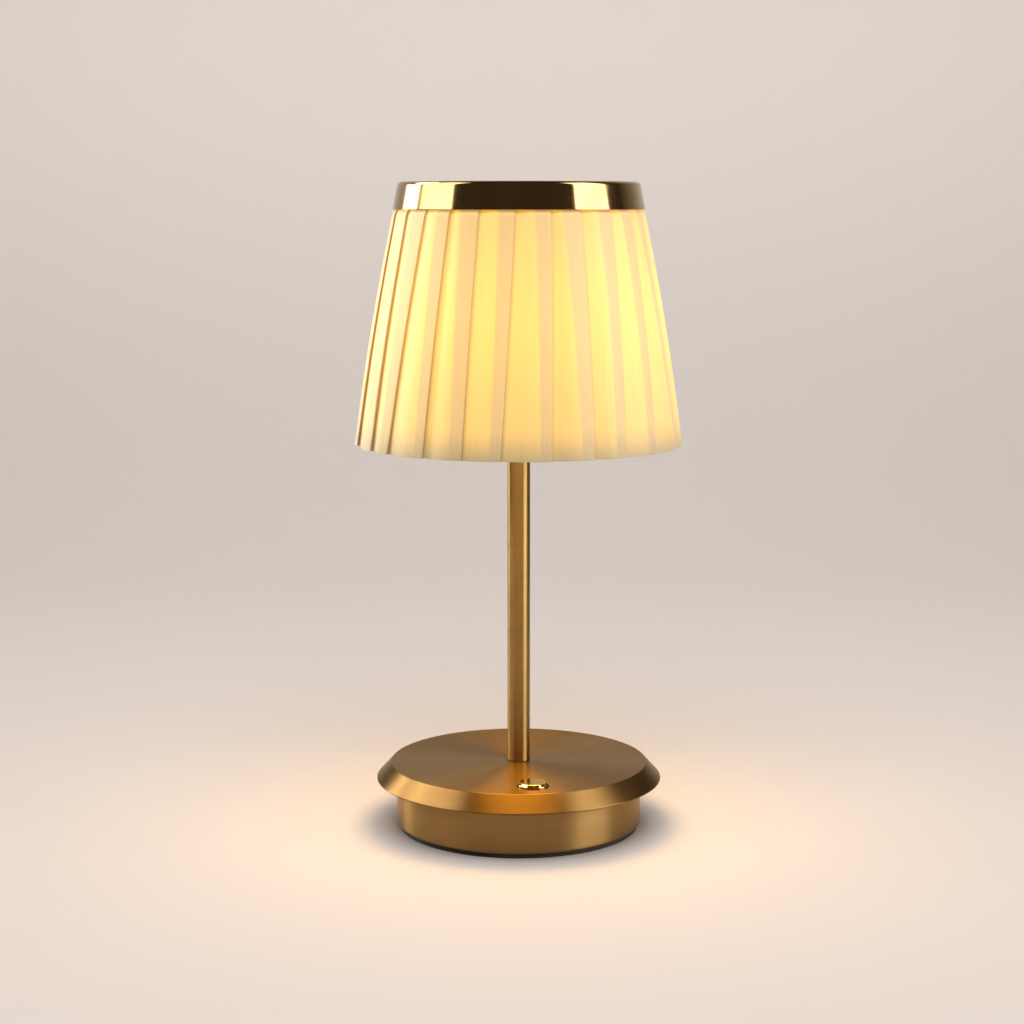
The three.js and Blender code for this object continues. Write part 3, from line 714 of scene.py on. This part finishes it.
spokeCount = 3
spokeThick = 1.25
spokeMiddle = (ringLow + ringHigh) / 2
spokeRoute = [
    (head["flange"] - 1.2, spokeMiddle), (29, spokeMiddle), (33, spokeMiddle + 2.2),
    (36, spokeMiddle + 7.5), (43, spokeMiddle + 33), (48.6, wireLow - 12.8),
    (topWire - 0.2, (wireLow + wireHigh) / 2)]
for k in range(spokeCount):
    turned = math.pi + math.pi / spokeCount + 2 * math.pi * k / spokeCount
    spoke = sweptRod(f"arm_{k + 1}", spokeRoute, spokeThick, turn=turned)
    finishPiece(spoke, "shade", "white_wire", f"spoke_{k + 1}")


# shade: band

bandLow, bandHigh = heights("top_band")
bandWide = widest("top_band")
band = {"topRadius": 54.8, "wall": 1.1, "lip": 50.6, "shoulder": 1.9, "lipEdge": 0.45}
bandRing = turnedPiece("brass_band", roundedOutline([
    (bandWide - band["wall"], bandLow, 0.2),
    (bandWide, bandLow, 0.3),
    (band["topRadius"] + 0.1, bandHigh, band["shoulder"]),
    (band["lip"], bandHigh, band["lipEdge"]),
    (band["lip"], bandHigh - band["wall"], 0.3),
    (band["topRadius"] - band["wall"] - 0.4, bandHigh - band["wall"], 0.9)], steps=9), segments=288)
finishPiece(bandRing, "shade", "polished_brass", "top_band")


# shade: pleated cloth

pleats = {
    "count": 24, "fabric": 30.4, "seed": 11,
    "hem": 181.0, "tuck": 291.0, "hemRadius": 75.2, "neckRadius": 57.0, "bulge": 1.0,
    "drawnIn": 2.5, "bandGap": 0.25, "hemGap": 0.78, "neckGap": 0.42, "crown": 0.35,
    "phase": -9.3, "lean": -3.0, "jitter": 2.4, "neckJitter": 0.6, "widthJitter": 0.14, "gapJitter": 0.15,
}
# painted light on the cloth: how much of the lamp's light each part shows, with painted shadow beside the
# folds and painted shade at the hem
lamplight = {
    "height": 243, "reach": 40, "far": 0.60, "near": 0.42, "hemShadeHeight": 13.0, "hemShadeLeast": 0.04,
    "foldShadow": 1.6, "inShadow": 0.42, "foldEdge": 0.55, "foldBack": 0.12, "inside": 0.3, "jitter": 0.06,
}


def clothRadius(z):
    # straight cone from neck to hem with a slight belly, drawn in under the band
    t = (bandLow - z) / (bandLow - pleats["hem"])
    cone = pleats["neckRadius"] + (pleats["hemRadius"] - pleats["neckRadius"]) * t
    belly = pleats["bulge"] * np.sin(np.pi * np.clip(t, 0, 1))
    inBand = np.clip((z - bandLow) / pleats["drawnIn"] + 1, 0, 1) ** 2
    bandTaper = (bandWide - band["topRadius"]) / (bandHigh - bandLow)
    tucked = bandWide - band["wall"] - pleats["bandGap"] - (z - bandLow) * bandTaper
    return (cone + belly) * (1 - inBand) + np.minimum(tucked, cone) * inBand


def clothRows():
    # the heights of the rows of points, closer together at the hem and where the band grips
    stops = [pleats["hem"], pleats["hem"] + 6, bandLow - 4, bandLow + 0.5, pleats["tuck"]]
    steps = [6, 45, 6, 3]
    parts = [np.linspace(low, high, n, endpoint=False) for low, high, n in zip(stops, stops[1:], steps)]
    return np.concatenate([*parts, stops[-1:]])


def clothGlow(fromFold, z, panels, folds):
    # painted light: the share of the lamp's light that shows through, full on a panel, with a painted
    # shadow just beside the fold covers it, falling off round the fold, little inside the pleat, times a
    # bell curve over height and a painted shade at the hem
    glow = np.full(fromFold.shape, lamplight["inside"])
    clear = np.clip(fromFold[..., :panels] / lamplight["foldShadow"], 0, 1) ** 0.7
    glow[..., :panels] = lamplight["inShadow"] + (1 - lamplight["inShadow"]) * clear
    glow[..., panels:panels + folds] = np.linspace(lamplight["foldEdge"], lamplight["foldBack"], folds)
    bell = np.exp(-((z - lamplight["height"]) / lamplight["reach"]) ** 2)
    hem = np.clip((z - pleats["hem"]) / lamplight["hemShadeHeight"], 0, 1) ** 0.85
    hem = lamplight["hemShadeLeast"] + (1 - lamplight["hemShadeLeast"]) * hem
    return glow * (lamplight["far"] + lamplight["near"] * bell) * hem


def layFlat(cloth, rows, columns):
    # UVs in the metres of the cloth laid flat: along it by column, up it by height
    length = pleats["fabric"] * pleats["count"] * mm
    along = np.tile(np.linspace(0, length, columns, endpoint=False), len(rows))
    place = np.stack([along, np.repeat(rows * mm, columns)], axis=-1)
    corner = np.zeros(len(cloth.data.loops), np.int32)
    cloth.data.loops.foreach_get("vertex_index", corner)
    corner = corner.reshape(-1, 4)
    column = corner % columns
    uv = place[corner]
    closing = (column == 0) & (column.max(1, keepdims=True) == columns - 1)
    uv[..., 0] += closing * length  # the quads that close the ring run on, not back
    cloth.data.uv_layers.new(name="clothMetres").data.foreach_set("uv", uv.reshape(-1))


def pleatedCloth():
    # One sheet folded round the cone. Along the cloth each pleat is: a visible panel that climbs
    # from the inner layer to the outer one, a fold, a return underneath, a fold, and an inner run.
    # angle = fold edge - share of the pitch, radius = cone radius - layer depth.
    count = pleats["count"]
    rows = clothRows()
    z = rows[:, None, None]
    rise = (z - pleats["hem"]) / (bandLow - pleats["hem"])  # 0 at the hem, 1 at the band
    onCloth = np.clip(rise, 0, 1)
    radius = clothRadius(z)
    pitch = 2 * np.pi / count
    wander = np.random.default_rng(pleats["seed"]).uniform(-1, 1, (4, count))
    wander = np.concatenate([wander, wander[:, :1]], axis=1)[:, None, :, None]  # closes the ring
    hemWander, neckWander = wander[:2]
    depthWander, glowWander = wander[2:, :, :-1]
    lean = pleats["phase"] + pleats["lean"] * (1 - rise)
    drift = pleats["jitter"] * (hemWander * (1 - rise) + pleats["neckJitter"] * neckWander * rise)
    edge = (np.arange(count + 1) * pitch)[:, None] + np.radians(lean + drift)
    before, after = edge[:, :-1], edge[:, 1:]
    under = (pleats["fabric"] - pitch * radius) / 2 / radius  # angle that lies under the next panel
    under = under * (1 + pleats["widthJitter"] * depthWander)
    gap = pleats["neckGap"] + (pleats["hemGap"] - pleats["neckGap"]) * (1 - onCloth) ** 0.8
    gap = gap * (1 + pleats["gapJitter"] * depthWander)

    panel = np.linspace(0, 1, 15)
    fold = np.linspace(0, np.pi, 7)[1:-1]
    run = np.linspace(0, 1, 6)
    bend = gap / 2 / radius
    start, end = before + bend, after - bend
    openShare = 1 - under / (after - before)
    climb = np.clip(panel / np.maximum(openShare * 0.9, 0.05), 0, 1)
    climb = climb * climb * (3 - 2 * climb)
    crown = pleats["crown"] * np.sin(np.pi * panel) * (1 - onCloth ** 3)
    turnIn = gap / 2 * (1 - np.cos(fold))
    stretches = [
        (start + (end - start) * panel, 2 * gap * (1 - climb) - crown),
        (end + bend * np.sin(fold), turnIn),
        (end - (under - 2 * bend) * run, gap + 0 * run),
        (after - under + bend - bend * np.sin(fold), gap + turnIn),
        (after - under + bend + under * run[:-1], 2 * gap + 0 * run[:-1]),
    ]
    angle, depth = [np.concatenate(side, axis=2) for side in zip(*stretches)]
    overlap = (after - angle) / under
    glow = clothGlow((angle - before) * radius, z, panel.size, fold.size)
    glow = glow * (1 + lamplight["jitter"] * glowWander)

    turns = angle.reshape(len(rows), -1)
    out = (radius - depth).reshape(len(rows), -1)
    columns = turns.shape[1]
    grid = np.stack([out * np.sin(turns), -out * np.cos(turns), rows[:, None] + 0 * turns], axis=-1)
    cloth = makeMesh("pleated_shade", grid.reshape(-1, 3) * mm, gridQuads(len(rows), columns))
    for label, values in (("overlap", overlap), ("glow", glow)):
        layer = cloth.data.attributes.new(label, "FLOAT", "POINT")
        layer.data.foreach_set("value", values.reshape(-1).astype(np.float32))
    layFlat(cloth, rows, columns)
    return cloth


cloth = pleatedCloth()
finishPiece(cloth, "shade", "ivory_fabric", "pleated_cloth", sharpAngle=80)
print("cloth folded")

film = {"wall": 0.4, "lift": 0.1, "neck": 57.2, "foot": 183.4}
linerLow, linerHigh = heights("shade_liner")
linerWide = widest("shade_liner")
linerTaper = (pleats["hemRadius"] - film["neck"]) / (bandLow - film["foot"])
linerTop = linerWide - (linerHigh - linerLow) * linerTaper
linerFoot = linerLow + film["lift"]
liner = turnedPiece("frosted_liner", [
    (linerWide - film["wall"], linerFoot), (linerWide, linerFoot),
    (linerTop, linerHigh), (linerTop - film["wall"], linerHigh)], segments=192)
finishPiece(liner, "shade", "liner_film", "shade_liner")

tapeLow, tapeHigh = heights("bottom_trim")
tapeFoot = tapeLow + tape["fold"]
tapeTop = tapeHigh + tape["leg"]
tapeIn = tape["out"] - tape["wide"]
hemTapeRing = turnedPiece("hem_tape", roundedOutline([
    (tapeIn, tapeFoot, 0.7),
    (tape["out"], tapeFoot, 0.7),
    (tape["out"] - tape["lean"], tapeTop, 0.12),
    (tape["out"] - tape["lean"] - tape["wall"], tapeTop, 0.12),
    (tape["out"] - tape["wall"], tapeFoot + tape["wall"], 0.5),
    (tapeIn + tape["wall"], tapeFoot + tape["wall"], 0.5),
    (tapeIn + 0.1, tapeTop, 0.12),
    (tapeIn - 0.2, tapeTop, 0.12)], steps=4), segments=192)
finishPiece(hemTapeRing, "shade", "ivory_fabric", "bottom_trim", material=hemTape)
print("shade made")


# stage, light and camera

view = {"turn": -7.9, "distance": 0.986, "aside": -0.00315, "height": 0.293, "pitch": 8.33, "lens": 75.6}
studio = {
    "wall": (0.86, 0.82, 0.780), "floor": (0.68, 0.645, 0.620), "dark": (0.080, 0.056, 0.040),
    "seen": (0.68, 0.60, 0.55), "wallAt": 1.25, "wide": 3.4, "tall": 2.2, "bend": 0.6,
}
turn = math.radians(view["turn"])
right = Vector((math.cos(turn), math.sin(turn), 0))
ahead = Vector((-math.sin(turn), math.cos(turn), 0))
up = Vector((0, 0, 1))


def backdrop():
    # a sheet of card that lies flat, curves up and stands: height is a quarter circle then a line
    bend, wallAt = studio["bend"], studio["wallAt"]
    flatLine = np.linspace(-studio["wide"], wallAt - bend, 12)[:-1]
    quarter = np.linspace(0, np.pi / 2, 24)
    wall = np.linspace(bend, studio["tall"], 5)[1:]
    y = np.concatenate([flatLine, wallAt - bend + bend * np.sin(quarter), wallAt + 0 * wall])
    z = np.concatenate([0 * flatLine, bend * (1 - np.cos(quarter)), wall])
    x = np.linspace(-studio["wide"], studio["wide"], 12)
    axes = np.array([right, ahead, up])
    place = x[None, :, None] * axes[0] + y[:, None, None] * axes[1] + z[:, None, None] * axes[2]
    card = makeMesh("backdrop", place.reshape(-1, 3), gridQuads(len(y), len(x), closeColumns=False))
    smoothShade(card, 80)
    material, tree, shader = newMaterial("studioCard", Roughness=0.75, Specular_IOR_Level=0.0)
    apart = tree.nodes.new("ShaderNodeSeparateXYZ")
    tree.links.new(objectPlace(tree), apart.inputs[0])
    risen = softStep(tree, apart.outputs[2], 0.0, 0.5)
    tint(tree, shader, risen, studio["floor"], studio["wall"])
    card.data.materials.append(material)


def aroundLamp(azimuth):
    # the way out from the lamp's axis, by degrees from the view
    a = math.radians(azimuth)
    return right * math.sin(a) - ahead * math.cos(a)


def addLight(name, kind, place, aim, power, colour, glossy=True, diffuse=True):
    lamp = bpy.data.lights.new(name, kind)
    lamp.energy, lamp.color = power, colour
    light = bpy.data.objects.new(name, lamp)
    bpy.context.scene.collection.objects.link(light)
    light.location = place
    light.rotation_mode = "QUATERNION"
    light.rotation_quaternion = (Vector(aim) - Vector(place)).to_track_quat("-Z", "Y")
    light.visible_camera, light.visible_glossy, light.visible_diffuse = False, glossy, diffuse
    return lamp


def softbox(name, azimuth, span, low, high, power, colour, distance=0.9):
    # a rectangular light on a circle round the lamp, facing its axis, that only reflections see
    middle = up * (low + high) / 2
    place = aroundLamp(azimuth) * distance + middle
    lamp = addLight(name, "AREA", place, middle, power, colour, diffuse=False)
    lamp.shape = "RECTANGLE"
    lamp.size, lamp.size_y = 2 * distance * math.tan(math.radians(span / 2)), high - low


def kicker(name, azimuth, power, colour, distance=0.9, height=0.30, aim=0.235, beam=18):
    # a narrow soft beam that only lights the shade's flank
    place = aroundLamp(azimuth) * distance + up * height
    lamp = addLight(name, "SPOT", place, up * aim, power, colour, glossy=False)
    lamp.shadow_soft_size, lamp.spot_size, lamp.spot_blend = 0.12, math.radians(beam), 0.5


def overhead(name, place, aim, size, power, colour, glossy=False, diffuse=True, beam=180):
    # a round light, its beam in degrees
    lamp = addLight(name, "AREA", place, aim, power, colour, glossy, diffuse)
    lamp.shape, lamp.size, lamp.spread = "DISK", size, math.radians(beam)


def darkFlag(start, end, low, high, distance=0.25, steps=16):
    # a curved black card in the air that only reflections see
    a = np.radians(np.linspace(start, end, steps))[:, None]
    foot = distance * (np.sin(a) * np.array(right) - np.cos(a) * np.array(ahead))
    rows = [foot + low * np.array(up), foot + high * np.array(up)]
    card = makeMesh("flag", np.concatenate(rows), gridQuads(2, steps, closeColumns=False))
    flagCloth = newMaterial("flagCloth", Base_Color=(0.01, 0.009, 0.008), Roughness=1.0)[0]
    card.data.materials.append(flagCloth)
    card.visible_camera = card.visible_diffuse = card.visible_shadow = False


backdrop()
softbox("rightBox", 70, 36, 0.0, 1.5, 15.0, (1.0, 0.97, 0.86))
softbox("leftBox", -82, 38, 0.46, 1.6, 12.0, (1.0, 0.92, 0.80))
softbox("leftStripHigh", -110, 10, 0.35, 0.9, 3.0, (1.0, 0.98, 0.90))
softbox("leftStripTop", -120, 13, 0.75, 1.30, 5.0, (1.0, 0.98, 0.92))
softbox("leftStripLow", -122, 11, 0.0, 0.5, 3.4, (1.0, 0.96, 0.86))
kicker("leftKicker", -106, 31.0, (1.0, 0.98, 1.0))
kicker("rightKicker", 88, 14.5, (1.0, 0.88, 1.0))
overhead("ceiling", up * 2.0 - ahead * 1.15, -ahead * 0.8, 2.2, 34.5, (1.0, 0.965, 0.955))
overhead("wallWash", ahead * 0.35 + up * 1.6, ahead * 1.3 + up * 0.5, 2.4, 15.5, (1.0, 0.965, 0.94))
overhead("floorFill", up * 2.2 - ahead * 3.0, -ahead * 3.0, 2.4, 32.0, (1.0, 0.965, 0.955), beam=110)
overhead("lampSpill", up * 0.178, (0, 0, 0), 0.125, 0.30, (1.0, 0.60, 0.20))
overhead("lampGlow", up * 0.177 - ahead * 0.02, -ahead * 0.03, 0.125, 0.21, (1.0, 0.58, 0.12),
         glossy=True, diffuse=False, beam=108)
darkFlag(98, 146, 0.058, 0.16)
darkFlag(-146, -124, 0.058, 0.15)

world = bpy.data.worlds.new("studio")
bpy.context.scene.world = world
world.use_nodes = True
airTree = world.node_tree
airTree.nodes.clear()
seen = addNode(airTree, "Background", Color=(*studio["seen"], 1))
dark = addNode(airTree, "Background", Color=(*studio["dark"], 1))
choose = airTree.nodes.new("ShaderNodeMixShader")
airOut = airTree.nodes.new("ShaderNodeOutputWorld")
airTree.links.new(airTree.nodes.new("ShaderNodeLightPath").outputs["Is Camera Ray"], choose.inputs[0])
airTree.links.new(dark.outputs[0], choose.inputs[1])
airTree.links.new(seen.outputs[0], choose.inputs[2])
airTree.links.new(choose.outputs[0], airOut.inputs[0])

cameraData = bpy.data.cameras.new("camera")
cameraData.lens, cameraData.sensor_width = view["lens"], 36
cameraData.clip_start, cameraData.clip_end = 0.01, 50
camera = bpy.data.objects.new("camera", cameraData)
bpy.context.scene.collection.objects.link(camera)
camera.location = right * view["aside"] - ahead * view["distance"] + up * view["height"]
pitch = math.radians(view["pitch"])
gaze = ahead * math.cos(pitch) - up * math.sin(pitch)
camera.rotation_mode = "QUATERNION"
camera.rotation_quaternion = gaze.to_track_quat("-Z", "Y")
bpy.context.scene.camera = camera
bpy.context.scene.view_settings.view_transform = "Standard"
print("stage ready")
